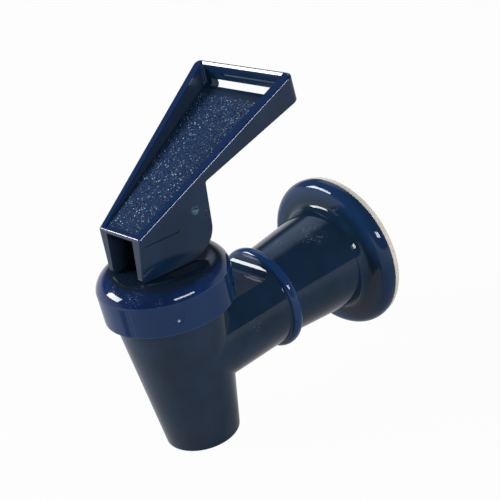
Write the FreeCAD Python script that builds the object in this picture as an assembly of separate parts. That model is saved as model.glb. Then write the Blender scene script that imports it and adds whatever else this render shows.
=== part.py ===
import FreeCAD, Part
import math
import os

# Lengths are millimetres. The origin is the mouth of the thread, in the plane of the gasket's
# rear face that meets the cooler's panel. The shank runs forward along -Y and +Z is up.

# Spout and valve chamber, turned about a vertical axis in front of the panel.
spout_reach = 59.8
outlet_drop = 25.7
outlet_radius = 9.9
outlet_lip_wall = 1.8
outlet_rounding = 0.5
outlet_roof_rounding = 1.5
spout_top_radius = 14.9
spout_wall = 2.4
seat_web_depth = 9.0
seat_web_thick = 3.0
seat_hole_radius = 4.2
seat_lip_width = 1.0
seat_lip_rise = 0.8
seat_lip_root = 0.5
chamber_rounding = 1.0

# Neck that the bonnet snaps over.
neck_height = 13.0
neck_length = 6.4
shoulder_width = 1.0
bead_above_shoulder = 3.4
bead_rise = 0.45
bead_width = 2.2
bead_rounding = 0.4

# Shank: straight front tube, raised ring, then a tube that swells to the wall flange.
front_tube_radius = 13.06
ring_centre = -31.06
ring_rise = 1.48
ring_width = 3.0
ring_rounding = 1.35
ring_root_rounding = 0.3
rear_tube_radius = 12.45
rear_tube_swell = 2.3
flange_radius = 22.05
flange_edge_thick = 3.1
flange_dish = 1.0
flange_rim_rounding = min(2.8, 0.9 * flange_edge_thick)
flange_neck_fillet = 2.3
flat_below_neck = 3.3
flat_bite = 0.06
cove_radius = 3.5

# Waterway and the cored-out rear of the shank.
water_bore_radius = 7.0
rear_bore_radius = 5.4
bore_step_length = 2.0
core_depth = 25.5
core_wall = 2.4
boss_wall = 1.8
rib_count = 6
rib_thick = 1.6

# Gasket, threaded insert and its washer. The thread is 7/16 inch with 20 turns an inch.
gasket_thick = 1.6
gasket_inset = 0.28
gasket_width = 10.27
gasket_rounding = 0.3
thread_bore_radius = 4.95
insert_wall = 2.25
insert_length = 15.6
insert_rounding = 0.4
insert_grooves = 2
insert_groove_width = 2.0
insert_groove_depth = 0.6
nipple_washer_thick = 1.5
nipple_washer_lap = 0.95

# Bonnet. Its side swells a little to a crease, where the rounded shoulder starts.
bonnet_wall = 3.0
bonnet_swell = 0.24
bonnet_shoulder_height = 4.1
bonnet_shoulder_lean = 0.216
bonnet_edge_rounding = 0.25
bonnet_top_thick = 2.8
guide_wall = 1.1
guide_drop = 4.5
guide_rounding = 0.4
gate_azimuth = 60.6
gate_height = 17.4
gate_pocket_radius = 1.55
gate_pocket_length = 2.6
gate_pocket_depth = 0.3
gate_nib_radius = 0.4
gate_nib_drop = 0.7
gate_nib_length = 0.65

# Seat cup and the slip ring that keeps it from twisting.
cup_rim_thick = 1.6
cup_wall = 1.2
cup_plug_height = 9.2
cup_nose_lap = 1.5
cup_bend_drop = 2.0
cup_rounding = 0.8
cup_chamber_gap = 1.5
slip_ring_thick = 1.6
slip_ring_width = 4.1

# Stem, spring and spring washer.
stem_radius = 2.5
stem_neck_radius = 1.8
stem_neck_length = 3.6
barb_rise = 0.9
barb_length = 2.2
barb_end_radius = 1.5
stem_head_radius = 3.6
stem_head_drop = 5.4
stem_head_rounding = 0.5
wire_radius = 0.45
coil_turns = 6
washer_margin = 0.45
washer_thick = 0.8

# Lever. Its pin stands on the spout's axis. The rear of each side plate is an arc that
# rolls on the bonnet, and the arc's centre lies behind the pin, which lifts the stem.
heel_radius = 7.6
heel_offset = 3.2
pin_above_heel_centre = 0.15
pin_radius = 1.2
pin_seat_depth = 1.3
foot_front = -10.5
foot_half_width = 6.75
foot_rounding = 1.2
plate_wall = 1.65
front_top_set_back = 1.25
front_height = 11.8
front_edge_rounding = 0.4
side_flare = 0.156
side_lean = 0.112
rim_slope = 0.524
rim_rounding = 0.7
tip_back = 40.1
tip_lean = 1.0
tip_depth = 7.95
tip_corner_radius = 1.8
tip_bottom_rounding = 1.2
underside_slope = 0.366
notch_rounding = 0.6
tray_front = -8.6
tray_rim_front = 2.0
tray_rim_rear = 3.0
tray_front_depth = 0.35
tray_depth_gain = 0.108
tray_front_rounding = 0.5
tray_corner_radius = 1.0
end_wall = 1.25
end_wall_bevel_drop = 0.35
end_wall_bevel_rise = 1.44
end_wall_step = 0.35
end_wall_step_drop = 2.35
end_wall_step_height = 0.55
end_wall_height = 4.25
slot_gap = 0.85
slot_side_land = 2.7
window_height = 10.5
hollow_flare = 0.13
hollow_rounding = 1.0
heel_wall = 2.4
witness_line_set_back = 2.4
witness_line_height = 9.3
witness_line_length = 9.6
witness_line_width = 0.45
witness_line_depth = 0.22

# Clearances.
resting_gap = 0.05
running_gap = 0.05
guide_gap = 0.3
fitted_gap = 0.02
bonnet_gap = 0.1
spring_gap = 0.25
cup_rim_gap = 0.6
stem_head_gap = 0.7
pin_end_gap = 0.1

# Places and sizes that follow from the ones above.
panel_face = -gasket_thick
neck_top = neck_height + neck_length
neck_radius = spout_top_radius - shoulder_width
neck_bore_radius = neck_radius - spout_wall
bead_height = neck_height + bead_above_shoulder
seat_top = seat_lip_rise - seat_web_depth
ring_front = ring_centre - ring_width / 2
ring_rear = ring_centre + ring_width / 2
flange_edge_front = panel_face - flange_edge_thick
flange_front = flange_edge_front - flange_dish
insert_radius = thread_bore_radius + insert_wall
washer_front = -insert_length - fitted_gap - nipple_washer_thick
cup_floor = seat_top + cup_plug_height
cup_rim_radius = neck_radius - cup_rim_gap
cup_rim_top = neck_top + cup_rim_thick
bonnet_bore_radius = neck_radius + bonnet_gap
bonnet_side_radius = bonnet_bore_radius + bonnet_wall + bonnet_swell
bonnet_underside = cup_rim_top + slip_ring_thick
bonnet_top = bonnet_underside + bonnet_top_thick
guide_radius = stem_radius + guide_gap + guide_wall
coil_radius = guide_radius + spring_gap + wire_radius
washer_radius = coil_radius + wire_radius + washer_margin
cup_floor_radius = washer_radius + spring_gap + cup_wall
barb_top = cup_floor - stem_neck_length
foot_height = bonnet_top + resting_gap
pin_height = foot_height + heel_radius + pin_above_heel_centre
heel_back = heel_offset + heel_radius
front_top = foot_front + front_top_set_back
tip_top_back = tip_back - tip_lean
tray_rear = tip_top_back - end_wall

# A cutting shape passes the face that it cuts by this much.
overcut = 2.0
# Half the width of a cutting shape that passes the whole object.
far = 60.0
# A rounding that fills a side stops short of it by this much.
sliver = 0.001
# Edges are picked by their place to within this much.
close = 0.01


def spout_point(point):
    """Place a (radius, height) pair beside the spout's axis."""
    return FreeCAD.Vector(point.x, -spout_reach, point.y)


def shank_point(point):
    """Place a (radius, distance) pair beside the shank's axis."""
    return FreeCAD.Vector(point.x, point.y, 0)


def side_point(point):
    """Place a (distance behind the spout's axis, height) pair in the middle plane."""
    return FreeCAD.Vector(0, point.x - spout_reach, point.y)


def plan_point(point):
    """Place an (x, distance behind the spout's axis) pair at height zero."""
    return FreeCAD.Vector(point.x, point.y - spout_reach, 0)


def rounded_corner(corners, index):
    """Give the start, middle and end of the arc at one corner of an outline."""
    here = FreeCAD.Vector(corners[index][0], corners[index][1], 0)
    rounding = corners[index][2] if len(corners[index]) > 2 else 0
    if rounding == 0:
        return here, None, here
    before = corners[index - 1]
    after = corners[(index + 1) % len(corners)]
    back = (FreeCAD.Vector(before[0], before[1], 0) - here).normalize()
    ahead = (FreeCAD.Vector(after[0], after[1], 0) - here).normalize()
    half_angle = back.getAngle(ahead) / 2
    reach = rounding / math.tan(half_angle)
    inward = (back + ahead).normalize()
    middle = here + inward * (rounding / math.sin(half_angle) - rounding)
    return here + back * reach, middle, here + ahead * reach


def outline_face(corners, place):
    """Make a flat face whose corners are (u, v) or (u, v, rounding)."""
    arcs = [rounded_corner(corners, index) for index in range(len(corners))]
    edges = []
    for index, (start, middle, end) in enumerate(arcs):
        if middle is not None:
            edges.append(Part.Arc(place(start), place(middle), place(end)).toShape())
        following = arcs[(index + 1) % len(arcs)][0]
        if (following - end).Length > 1e-6:
            edges.append(Part.makeLine(place(end), place(following)))
    return Part.Face(Part.Wire(edges))


def turned_on_spout(corners):
    """Turn a (radius, height) outline about the spout's axis."""
    face = outline_face(corners, spout_point)
    return face.revolve(FreeCAD.Vector(0, -spout_reach, 0), FreeCAD.Vector(0, 0, 1), 360)


def turned_on_shank(corners):
    """Turn a (radius, distance) outline about the shank's axis."""
    face = outline_face(corners, shank_point)
    return face.revolve(FreeCAD.Vector(0, 0, 0), FreeCAD.Vector(0, 1, 0), 360)


def side_prism(corners, half_width):
    """Extrude a side outline to both sides of the middle plane."""
    face = outline_face(corners, side_point)
    face.translate(FreeCAD.Vector(-half_width, 0, 0))
    return face.extrude(FreeCAD.Vector(2 * half_width, 0, 0))


def plan_prism(corners, bottom, top):
    """Extrude a plan outline between two heights."""
    face = outline_face(corners, plan_point)
    face.translate(FreeCAD.Vector(0, 0, bottom))
    return face.extrude(FreeCAD.Vector(0, 0, top - bottom))


def spout_radius_at(height):
    """Outer radius of the spout's cone at a height."""
    share = (height + outlet_drop) / (neck_height + outlet_drop)
    return outlet_radius + share * (spout_top_radius - outlet_radius)


def spout_blank():
    """Cone of the spout with the neck and snap bead on top."""
    return turned_on_spout([
        (0, -outlet_drop),
        (outlet_radius, -outlet_drop, outlet_rounding),
        (spout_top_radius, neck_height, bonnet_edge_rounding),
        (neck_radius, neck_height),
        (neck_radius, bead_height - bead_width / 2),
        (neck_radius + bead_rise, bead_height, bead_rounding),
        (neck_radius, bead_height + bead_width / 2),
        (neck_radius, neck_top, bonnet_edge_rounding),
        (0, neck_top),
    ])


def shank_blank():
    """Front tube, ring, swelling rear tube and wall flange, with the flat on top."""
    ring_radius = front_tube_radius + ring_rise
    shank = turned_on_shank([
        (0, -spout_reach),
        (front_tube_radius, -spout_reach),
        (front_tube_radius, ring_front, ring_root_rounding),
        (ring_radius, ring_front, ring_rounding),
        (ring_radius, ring_rear, ring_rounding),
        (rear_tube_radius, ring_rear, ring_root_rounding),
        (rear_tube_radius + rear_tube_swell, flange_front, flange_neck_fillet),
        (flange_radius, flange_edge_front, flange_rim_rounding),
        (flange_radius, panel_face, gasket_rounding),
        (0, panel_face),
    ])
    flat_height = neck_height - flat_below_neck
    flat_rear = ring_front + flat_bite + spout_reach
    flat_cut = side_prism([
        (0, flat_height),
        (flat_rear, flat_height, cove_radius),
        (flat_rear, far),
        (0, far),
    ], far)
    return shank.cut(flat_cut)


def rear_tube_radius_at(distance):
    """Outer radius of the rear tube at a distance along the shank."""
    share = (distance - ring_rear) / (flange_front - ring_rear)
    return rear_tube_radius + share * rear_tube_swell


def rear_core():
    """Space round the insert's boss, split by ribs, open at the rear."""
    core_front = panel_face - core_depth
    core = turned_on_shank([
        (0, core_front),
        (rear_tube_radius_at(core_front) - core_wall, core_front, ring_root_rounding),
        (rear_tube_radius_at(flange_front) - core_wall, panel_face),
        (0, panel_face),
    ])
    start = FreeCAD.Vector(0, core_front, 0)
    along = FreeCAD.Vector(0, 1, 0)
    core = core.cut(Part.makeCylinder(insert_radius + boss_wall, core_depth, start, along))
    for index in range(rib_count):
        rib = Part.makeBox(rib_thick, core_depth, far)
        rib.translate(FreeCAD.Vector(-rib_thick / 2, core_front, 0))
        rib.rotate(FreeCAD.Vector(0, 0, 0), along, 360 / rib_count * (index + 0.5))
        core = core.cut(rib)
    return core


def valve_chamber():
    """Space above the seat web, open at the top of the neck."""
    return turned_on_spout([
        (0, -seat_web_depth),
        (spout_radius_at(-seat_web_depth) - spout_wall, -seat_web_depth, chamber_rounding),
        (spout_radius_at(neck_height) - spout_wall, neck_height),
        (neck_bore_radius, neck_height + shoulder_width),
        (neck_bore_radius, neck_top),
        (0, neck_top),
    ])


def seat_lip():
    """Raised lip on the seat web that the cup's nose shuts on."""
    lip_radius = seat_hole_radius + seat_lip_width
    return turned_on_spout([
        (seat_hole_radius, -seat_web_depth - seat_lip_root),
        (lip_radius + seat_lip_rise, -seat_web_depth - seat_lip_root),
        (lip_radius + seat_lip_rise, -seat_web_depth),
        (lip_radius, seat_top),
        (seat_hole_radius, seat_top),
    ])


def outlet_bore():
    """Open cone below the seat web, with the hole through the web."""
    web_bottom = -seat_web_depth - seat_web_thick
    cone = turned_on_spout([
        (0, -outlet_drop),
        (outlet_radius - outlet_lip_wall, -outlet_drop),
        (spout_radius_at(web_bottom) - spout_wall, web_bottom, outlet_roof_rounding),
        (0, web_bottom),
    ])
    start = FreeCAD.Vector(0, -spout_reach, web_bottom - overcut)
    hole = Part.makeCylinder(seat_hole_radius, seat_top - start.z, start)
    return cone.fuse(hole)


def waterway():
    """Bore along the shank, stepped for the washer and the threaded insert."""
    return turned_on_shank([
        (0, -spout_reach),
        (water_bore_radius, -spout_reach),
        (water_bore_radius, ring_centre),
        (rear_bore_radius, ring_centre + bore_step_length),
        (rear_bore_radius, washer_front),
        (insert_radius + fitted_gap, washer_front),
        (insert_radius + fitted_gap, panel_face),
        (0, panel_face),
    ])


def faucet_body():
    """One moulding: spout, valve chamber, shank, ring and wall flange."""
    body = spout_blank().fuse(shank_blank()).cut(valve_chamber()).fuse(seat_lip())
    for hollow in (outlet_bore(), waterway(), rear_core()):
        body = body.cut(hollow)
    return body.removeSplitter()


def mounting_gasket():
    """Cream foam washer between the flange and the cooler's panel."""
    gasket_radius = flange_radius - gasket_inset
    return turned_on_shank([
        (gasket_radius - gasket_width, -gasket_thick),
        (gasket_radius, -gasket_thick, gasket_rounding),
        (gasket_radius, 0, gasket_rounding),
        (gasket_radius - gasket_width, 0),
    ])


def thread_insert():
    """Brass bush locked in the boss by grooves; its end is flush with the gasket."""
    insert = turned_on_shank([
        (thread_bore_radius, -insert_length),
        (insert_radius, -insert_length, insert_rounding),
        (insert_radius, 0, insert_rounding),
        (thread_bore_radius, 0),
    ])
    for index in range(insert_grooves):
        middle = -insert_length * (index + 1) / (insert_grooves + 1)
        groove = turned_on_shank([
            (insert_radius - insert_groove_depth, middle - insert_groove_width / 2),
            (insert_radius + overcut, middle - insert_groove_width / 2),
            (insert_radius + overcut, middle + insert_groove_width / 2),
            (insert_radius - insert_groove_depth, middle + insert_groove_width / 2),
        ])
        insert = insert.cut(groove)
    return insert


def nipple_washer():
    """Rubber washer at the bottom of the thread, which the cooler's nipple presses on."""
    bore = thread_bore_radius - nipple_washer_lap
    rear = washer_front + nipple_washer_thick
    return turned_on_shank([
        (bore, washer_front),
        (insert_radius - bonnet_gap, washer_front),
        (insert_radius - bonnet_gap, rear),
        (bore, rear),
    ])


def shoulder_rounding():
    """Radius of the arc that leaves the bonnet's crease and runs level into its top."""
    lean = math.atan(bonnet_shoulder_lean)
    reach = bonnet_shoulder_height / math.cos(lean)
    return reach / math.tan((math.pi / 2 - lean) / 2)


def bonnet():
    """Smooth cap that snaps on the neck and guides the stem."""
    bottom = neck_height + fitted_gap
    bore = bonnet_bore_radius
    outside = bore + bonnet_wall
    side_top = bonnet_top - bonnet_shoulder_height
    shoulder_top_radius = bonnet_side_radius - bonnet_shoulder_lean * bonnet_shoulder_height
    guide_bottom = bonnet_underside - guide_drop
    cap = turned_on_spout([
        (bore, bottom, bonnet_edge_rounding),
        (outside, bottom, bonnet_edge_rounding),
        (bonnet_side_radius, side_top),
        (shoulder_top_radius, bonnet_top, shoulder_rounding() - sliver),
        (stem_radius + guide_gap, bonnet_top, guide_rounding),
        (stem_radius + guide_gap, guide_bottom),
        (guide_radius, guide_bottom, guide_rounding),
        (guide_radius, bonnet_underside),
        (bore, bonnet_underside),
        (bore, bead_height + bead_width / 2),
        (bore + bead_rise, bead_height, bead_rounding),
        (bore, bead_height - bead_width / 2),
    ])
    return cap.cut(gate_pocket()).fuse(gate_nib())


def on_gate(shape):
    """Move a shape from beside the origin to the gate on the bonnet's side."""
    shape.translate(FreeCAD.Vector(0, gate_pocket_depth - bonnet_side_radius, gate_height))
    shape.rotate(FreeCAD.Vector(0, 0, 0), FreeCAD.Vector(0, 0, 1), gate_azimuth)
    shape.translate(FreeCAD.Vector(0, -spout_reach, 0))
    return shape


def gate_pocket():
    """Shallow upright pocket, round below, that keeps the gate's nib off the surface."""
    outward = FreeCAD.Vector(0, -1, 0)
    disc = Part.makeCylinder(gate_pocket_radius, overcut, FreeCAD.Vector(0, 0, 0), outward)
    slab = Part.makeBox(2 * gate_pocket_radius, overcut, gate_pocket_length)
    slab.translate(FreeCAD.Vector(-gate_pocket_radius, -overcut, 0))
    return on_gate(disc.fuse(slab))


def gate_nib():
    """Stub left in the pocket where the sprue was snapped off."""
    start = FreeCAD.Vector(0, gate_pocket_depth, -gate_nib_drop)
    nib = Part.makeCylinder(gate_nib_radius, gate_nib_length, start, FreeCAD.Vector(0, -1, 0))
    return on_gate(nib)


def seat_cup():
    """Silicone bell: clamped rim, soft wall and a nose that shuts on the seat."""
    bend_radius = neck_bore_radius - cup_chamber_gap
    return turned_on_spout([
        (0, seat_top),
        (seat_hole_radius + cup_nose_lap, seat_top, cup_rounding),
        (cup_floor_radius, cup_floor),
        (bend_radius, neck_top - cup_bend_drop, cup_rounding),
        (neck_bore_radius - cup_rim_gap, neck_top, cup_rounding),
        (cup_rim_radius, neck_top),
        (cup_rim_radius, cup_rim_top),
        (bend_radius - cup_wall, cup_rim_top, cup_rounding),
        (cup_floor_radius - cup_wall, cup_floor),
        (stem_neck_radius, cup_floor),
        (stem_neck_radius, barb_top),
        (stem_neck_radius + barb_rise, barb_top),
        (barb_end_radius, barb_top - barb_length),
        (0, barb_top - barb_length),
    ])


def slip_ring():
    """Hard ring between the bonnet and the soft rim of the seat cup."""
    return turned_on_spout([
        (cup_rim_radius - slip_ring_width, cup_rim_top),
        (cup_rim_radius, cup_rim_top),
        (cup_rim_radius, bonnet_underside),
        (cup_rim_radius - slip_ring_width, bonnet_underside),
    ])


def valve_stem():
    """Rod with a barb below for the seat cup and a head above for the pin."""
    head_bottom = pin_height - stem_head_drop
    rod = turned_on_spout([
        (0, barb_top - barb_length),
        (barb_end_radius, barb_top - barb_length),
        (stem_neck_radius + barb_rise, barb_top),
        (stem_neck_radius, barb_top),
        (stem_neck_radius, cup_floor),
        (stem_radius, cup_floor),
        (stem_radius, pin_height),
        (0, pin_height),
    ])
    head = side_prism([
        (-stem_head_radius, head_bottom, stem_head_rounding),
        (stem_head_radius, head_bottom, stem_head_rounding),
        (stem_head_radius, pin_height + stem_head_radius, stem_head_radius - sliver),
        (-stem_head_radius, pin_height + stem_head_radius, stem_head_radius - sliver),
    ], hollow_half_width(-stem_head_radius) - stem_head_gap)
    return rod.fuse(head).cut(pin_rod(pin_radius + fitted_gap, far)).removeSplitter()


def pin_rod(radius, half_length):
    """Cylinder across the lever on the pin's axis."""
    start = FreeCAD.Vector(-half_length, -spout_reach, pin_height)
    return Part.makeCylinder(radius, 2 * half_length, start, FreeCAD.Vector(1, 0, 0))


def pivot_pin():
    """Steel pin held in the stem's head, with both ends in the lever's plates."""
    return pin_rod(pin_radius, hollow_half_width(0) + pin_seat_depth - pin_end_gap)


def return_spring():
    """Round-wire spring between the bonnet and the washer in the seat cup."""
    bottom = cup_floor + washer_thick + wire_radius
    height = bonnet_underside - wire_radius - bottom
    helix = Part.makeHelix(height / coil_turns, height, coil_radius)
    start = FreeCAD.Vector(coil_radius, 0, 0)
    section = Part.Wire(Part.makeCircle(wire_radius, start, FreeCAD.Vector(0, 1, 0)))
    spring = Part.Wire(helix).makePipeShell([section], True, True)
    spring.translate(FreeCAD.Vector(0, -spout_reach, bottom))
    return spring


def spring_washer():
    """Steel washer that spreads the spring's load on the silicone."""
    return turned_on_spout([
        (stem_radius + running_gap, cup_floor),
        (washer_radius, cup_floor),
        (washer_radius, cup_floor + washer_thick),
        (stem_radius + running_gap, cup_floor + washer_thick),
    ])


def lever_half_width(back, height):
    """Half width of the lever's flat sides at a place."""
    return (foot_half_width + side_flare * (back - foot_front)
            + side_lean * (height - foot_height))


def hollow_half_width(back):
    """Half width of the lever's hollow at a distance behind the spout's axis."""
    return foot_half_width - plate_wall + hollow_flare * (back - foot_front)


def lever_wedge(inset):
    """Solid between the two flat side planes of the lever, each moved in by the inset."""
    rings = []
    for height in (foot_height - overcut, bonnet_top + far):
        front = lever_half_width(foot_front - overcut, height) - inset
        rear = lever_half_width(tip_back + overcut, height) - inset
        corners = [(-front, foot_front - overcut), (front, foot_front - overcut),
                   (rear, tip_back + overcut), (-rear, tip_back + overcut)]
        rings.append([FreeCAD.Vector(x, y - spout_reach, height) for x, y in corners])
    low, high = rings
    faces = [Part.Face(Part.makePolygon(ring + ring[:1])) for ring in rings]
    for index in range(len(low)):
        after = (index + 1) % len(low)
        ring = [low[index], low[after], high[after], high[index], low[index]]
        faces.append(Part.Face(Part.makePolygon(ring)))
    return Part.Solid(Part.Shell(faces))


def rim_height(back):
    """Height of the lever's rim at a distance behind the spout's axis."""
    return foot_height + front_height + rim_slope * (back - front_top)


def underside_height(back):
    """Height of the lever's underside, between the heel and the tip."""
    return rim_height(tip_back) - tip_depth - underside_slope * (tip_back - back)


def tray_floor_height(back):
    """Height of the tray's floor."""
    return rim_height(back) - tray_front_depth - tray_depth_gain * (back - tray_front)


def tray_half_width(back, rim_width):
    """Half width of the tray where its rim has the width given."""
    return lever_half_width(back, rim_height(back)) - rim_width


def lever_outside():
    """Lever before it is hollowed, with its edges rounded."""
    blank = side_prism([
        (foot_front, foot_height, foot_rounding),
        (front_top, rim_height(front_top)),
        (tip_top_back, rim_height(tip_top_back)),
        (tip_back, underside_height(tip_back)),
        (heel_back, underside_height(heel_back), notch_rounding),
        (heel_back, foot_height, heel_radius - sliver),
    ], far)
    lever = blank.common(lever_wedge(0))
    lever = rounded_edges(lever, is_tip_upright, tip_corner_radius)
    lever = rounded_edges(lever, is_rim_edge, rim_rounding)
    lever = rounded_edges(lever, is_front_upright, front_edge_rounding)
    return lever.cut(tip_corner_waste())


def tip_corner_waste():
    """What lies outside the rounded lower corner of the tip."""
    tip_bottom = underside_height(tip_back)
    block = side_prism([
        (tip_back - overcut, tip_bottom - overcut),
        (tip_back + overcut, tip_bottom - overcut),
        (tip_back + overcut, tip_bottom + overcut),
        (tip_back - overcut, tip_bottom + overcut),
    ], far)
    return block.cut(side_prism([
        (tip_back, tip_bottom, tip_bottom_rounding),
        (tip_top_back, rim_height(tip_top_back)),
        (heel_back, underside_height(heel_back)),
    ], far))


def rounded_edges(solid, is_wanted, radius):
    """Round the edges of a solid that a test picks."""
    return solid.makeFillet(radius, [edge for edge in solid.Edges if is_wanted(edge)])


def is_tip_upright(edge):
    """Tell whether an edge is one of the upright corners of the lever's tip."""
    ends = [vertex.Point for vertex in edge.Vertexes]
    at_tip = all(end.y + spout_reach > tip_top_back - close for end in ends)
    return at_tip and abs(ends[0].z - ends[-1].z) > tip_depth / 2


def is_front_upright(edge):
    """Tell whether an edge is one of the upright outer edges of the lever's front."""
    ends = [vertex.Point for vertex in edge.Vertexes]
    at_front = all(end.y + spout_reach < front_top + close for end in ends)
    return at_front and abs(ends[0].z - ends[-1].z) > front_height / 2


def is_rim_edge(edge):
    """Tell whether an edge runs round the sides and the tip of the lever's rim."""
    middle = edge.valueAt((edge.FirstParameter + edge.LastParameter) / 2)
    back = middle.y + spout_reach
    return abs(middle.z - rim_height(back)) < close and back > front_top + overcut


def tray_recess():
    """Recess in the lever's top that makes the thumb rest."""
    front_half = tray_half_width(tray_front, tray_rim_front)
    rear_half = tray_half_width(tray_rear, tray_rim_rear)
    plan = plan_prism([
        (-front_half, tray_front, tray_front_rounding),
        (front_half, tray_front, tray_front_rounding),
        (rear_half, tray_rear, tray_corner_radius),
        (-rear_half, tray_rear, tray_corner_radius),
    ], 0, bonnet_top + far)
    above_floor = side_prism([
        (tray_front - overcut, tray_floor_height(tray_front - overcut)),
        (tray_rear + overcut, tray_floor_height(tray_rear + overcut)),
        (tray_rear + overcut, bonnet_top + far),
        (tray_front - overcut, bonnet_top + far),
    ], far)
    return plan.common(above_floor)


def tip_slot():
    """Slot behind the tray's floor; its core also steps the lower part of the end wall."""
    rim = rim_height(tray_rear)
    step_top = rim - end_wall_step_drop
    return side_prism([
        (tray_rear - slot_gap, 0),
        (tip_back + overcut, 0),
        (tip_back + overcut, rim - end_wall_height),
        (tray_rear + end_wall_step, rim - end_wall_height),
        (tray_rear + end_wall_step, step_top - end_wall_step_height),
        (tray_rear, step_top),
        (tray_rear - slot_gap, step_top),
    ], tray_half_width(tray_rear, tray_rim_rear) - slot_side_land)


def end_wall_bevel():
    """Steep bevel along the inner top edge of the end wall."""
    bottom = rim_height(tray_rear) - end_wall_bevel_drop
    top = bottom + end_wall_bevel_rise * overcut
    return side_prism([
        (tray_rear - overcut, bottom),
        (tray_rear, bottom),
        (tray_rear + overcut, top),
        (tray_rear - overcut, top),
    ], tray_half_width(tray_rear, tray_rim_rear))


def lever_hollow():
    """Hollow between the plates, open below and in front, where the stem's head sits."""
    front = foot_front - overcut
    rear = heel_back - heel_wall
    ceiling_front = foot_height + window_height
    ceiling_rear = ceiling_front + underside_slope * (rear - foot_front)
    side = side_prism([
        (front, 0),
        (rear, 0),
        (rear, ceiling_rear, hollow_rounding),
        (foot_front, ceiling_front),
        (front, ceiling_front),
    ], far)
    plan = plan_prism([
        (-hollow_half_width(front), front),
        (hollow_half_width(front), front),
        (hollow_half_width(rear), rear, hollow_rounding),
        (-hollow_half_width(rear), rear, hollow_rounding),
    ], 0, bonnet_top + far)
    return side.common(plan)


def witness_lines():
    """Fine moulded line along each side plate, above the pin."""
    start = foot_front + witness_line_set_back
    height = foot_height + witness_line_height
    strip = side_prism([
        (start, height),
        (start + witness_line_length, height),
        (start + witness_line_length, height + witness_line_width),
        (start, height + witness_line_width),
    ], far)
    return strip.cut(lever_wedge(witness_line_depth))


def lever():
    """Moulded lever: thumb tray, two side plates and the heel that rolls on the bonnet."""
    shape = lever_outside()
    pin_seats = pin_rod(pin_radius + running_gap, hollow_half_width(0) + pin_seat_depth)
    cuts = [tray_recess(), tip_slot(), end_wall_bevel(), lever_hollow(), pin_seats,
            witness_lines()]
    for cut in cuts:
        shape = shape.cut(cut)
    return shape.removeSplitter()


def main():
    """Build every piece and write one file for each."""
    os.makedirs("parts", exist_ok=True)
    makers = [faucet_body, mounting_gasket, thread_insert, nipple_washer, bonnet, seat_cup,
              slip_ring, valve_stem, pivot_pin, return_spring, spring_washer, lever]
    for maker in makers:
        maker().exportStep("parts/" + maker.__name__ + ".step")


main()
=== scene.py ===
import math

import bmesh
import bpy
import numpy as np
from mathutils import Matrix, Vector


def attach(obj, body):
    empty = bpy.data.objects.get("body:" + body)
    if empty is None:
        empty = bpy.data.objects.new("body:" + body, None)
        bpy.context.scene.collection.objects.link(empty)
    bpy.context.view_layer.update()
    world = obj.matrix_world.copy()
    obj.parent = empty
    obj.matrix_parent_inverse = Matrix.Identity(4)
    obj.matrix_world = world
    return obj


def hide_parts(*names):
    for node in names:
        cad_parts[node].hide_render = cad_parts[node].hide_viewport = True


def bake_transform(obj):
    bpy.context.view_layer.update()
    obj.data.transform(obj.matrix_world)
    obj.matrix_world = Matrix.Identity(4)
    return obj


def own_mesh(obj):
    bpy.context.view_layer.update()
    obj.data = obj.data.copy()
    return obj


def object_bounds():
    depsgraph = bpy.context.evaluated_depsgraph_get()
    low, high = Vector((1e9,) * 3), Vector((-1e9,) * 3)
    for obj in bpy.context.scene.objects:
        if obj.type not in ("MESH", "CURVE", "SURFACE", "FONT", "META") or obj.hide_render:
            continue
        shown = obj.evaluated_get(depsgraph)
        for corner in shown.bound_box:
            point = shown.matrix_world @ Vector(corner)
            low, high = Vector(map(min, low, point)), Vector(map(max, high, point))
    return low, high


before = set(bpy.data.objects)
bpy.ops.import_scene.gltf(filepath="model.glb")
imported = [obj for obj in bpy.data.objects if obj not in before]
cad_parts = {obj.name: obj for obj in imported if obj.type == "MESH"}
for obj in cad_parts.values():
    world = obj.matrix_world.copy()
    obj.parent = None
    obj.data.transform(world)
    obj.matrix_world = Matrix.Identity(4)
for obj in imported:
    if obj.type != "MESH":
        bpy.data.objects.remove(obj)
cad_low, cad_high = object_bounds()

# The view. The camera stands to the right of the spout, above the bonnet, and leans a little,
# so that the spout's axis slants in the picture. Angles are in degrees, places in metres.
view_azimuth = math.radians(52.938)
view_elevation = math.radians(25.524)
view_lean = math.radians(-12.721)
view_distance = 0.358117
view_centre = Vector((-0.020873, -0.015777, 0.002113))
lens_length = 89.74
sensor_width = 36.0
nearest_seen = 0.01
farthest_seen = 50.0

toward_camera = Vector((math.sin(view_azimuth) * math.cos(view_elevation),
                        -math.cos(view_azimuth) * math.cos(view_elevation),
                        math.sin(view_elevation)))
level_right = Vector((math.cos(view_azimuth), math.sin(view_azimuth), 0))
upright = toward_camera.cross(level_right)
picture_right = math.cos(view_lean) * level_right + math.sin(view_lean) * upright
picture_up = math.cos(view_lean) * upright - math.sin(view_lean) * level_right

camera = bpy.data.objects.new("camera", bpy.data.cameras.new("camera"))
bpy.context.scene.collection.objects.link(camera)
camera.data.lens = lens_length
camera.data.sensor_width = sensor_width
camera.data.clip_start = nearest_seen
camera.data.clip_end = farthest_seen
camera_axes = Matrix((picture_right, picture_up, toward_camera)).transposed()
camera.matrix_world = (Matrix.Translation(view_centre + view_distance * toward_camera)
                       @ camera_axes.to_4x4())
bpy.context.scene.camera = camera
bpy.context.scene.view_settings.view_transform = "Standard"


# The studio. A pale floor under the spout's mouth, a dim room, and a bright softbox to each
# side, whose sharp reflections run along the rounded edges. Behind and to the left stand a low
# pale backdrop and, high above it, a cool window.
lamp_aim = Vector((0, -0.05, 0.02))


def add_node(tree, kind, settings=None, **inputs):
    """Add a node, set its properties and its unlinked inputs, and return it."""
    node = tree.nodes.new(kind)
    for name, value in (settings or {}).items():
        setattr(node, name, value)
    for name, value in inputs.items():
        node.inputs[name.replace("_", " ")].default_value = value
    return node


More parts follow.
